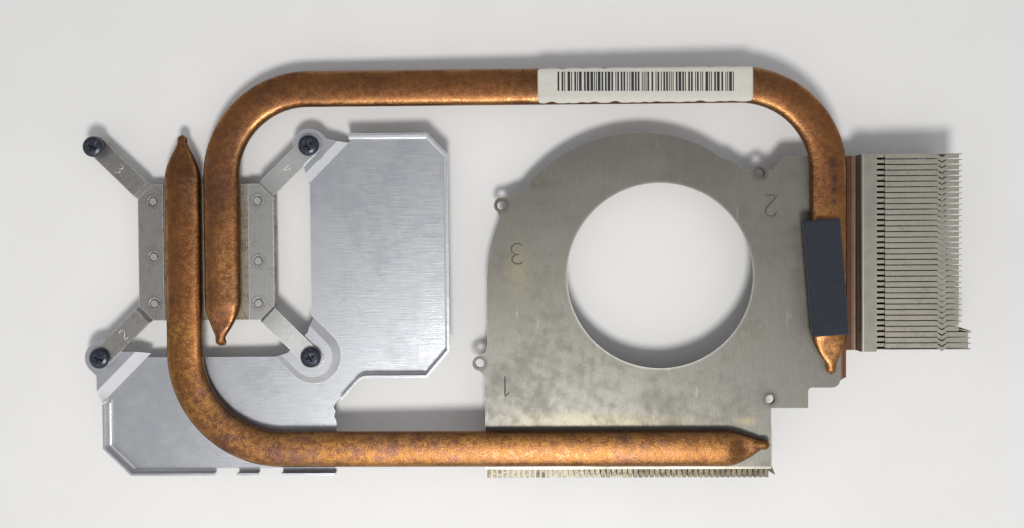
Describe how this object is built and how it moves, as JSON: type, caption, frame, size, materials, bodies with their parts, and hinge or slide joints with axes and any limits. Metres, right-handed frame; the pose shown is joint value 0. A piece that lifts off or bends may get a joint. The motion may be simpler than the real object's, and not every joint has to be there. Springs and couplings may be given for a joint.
{
  "type": "laptop heatsink",
  "caption": "Laptop heatsink: two bent, flattened copper heat pipes join a bracketed cold plate to fin stacks round a fan cover, with a thin spreader plate.",
  "frame": {"origin": "centre of the processor contact face on the underside of the cold plate", "axes": "+Z out of the contact face's back, away from the processor; +X from the cold plate towards the fan cover; +Y towards the upper heat pipe"},
  "size_m": [0.242, 0.1125, 0.018],
  "materials": {
    "plate_metal": "satin, greenish grey",
    "left_bracket_steel": "satin, dark grey",
    "right_bracket_steel": "satin, grey",
    "lower_pipe_copper": "tarnished copper, mottled",
    "upper_pipe_copper": "tarnished copper",
    "spreader_sheet": "bluish grey, fine grain",
    "cover_sheet": "mottled, dull grey",
    "tall_fin_sheet": "dull warm grey",
    "short_fin_sheet": "yellowish, dull",
    "black_screw": "black, worn on the edges",
    "ring_steel": "satin",
    "dark_foam": "matt, dark blue grey",
    "label_paper": "matt, off-white"
  },
  "bodies": {
    "root": {"cold_plate": "plate_metal", "left_bracket": "left_bracket_steel", "right_bracket": "right_bracket_steel", "lower_heat_pipe": "lower_pipe_copper", "upper_heat_pipe": "upper_pipe_copper", "spreader_plate": "spreader_sheet", "fan_cover": "cover_sheet", "tall_fin_stack": "tall_fin_sheet", "bent_fin": "tall_fin_sheet", "long_fins": "tall_fin_sheet", "short_fin_stack": "short_fin_sheet", "end_fin": "short_fin_sheet", "screw_top_left": "black_screw", "screw_top_right": "black_screw", "screw_bottom_left": "black_screw", "screw_bottom_right": "black_screw", "ring_top_left": "ring_steel", "ring_top_right": "ring_steel", "ring_bottom_left": "ring_steel", "ring_bottom_right": "ring_steel", "foam_pad": "dark_foam", "paper_label": "label_paper"}
  },
  "joints": []
}
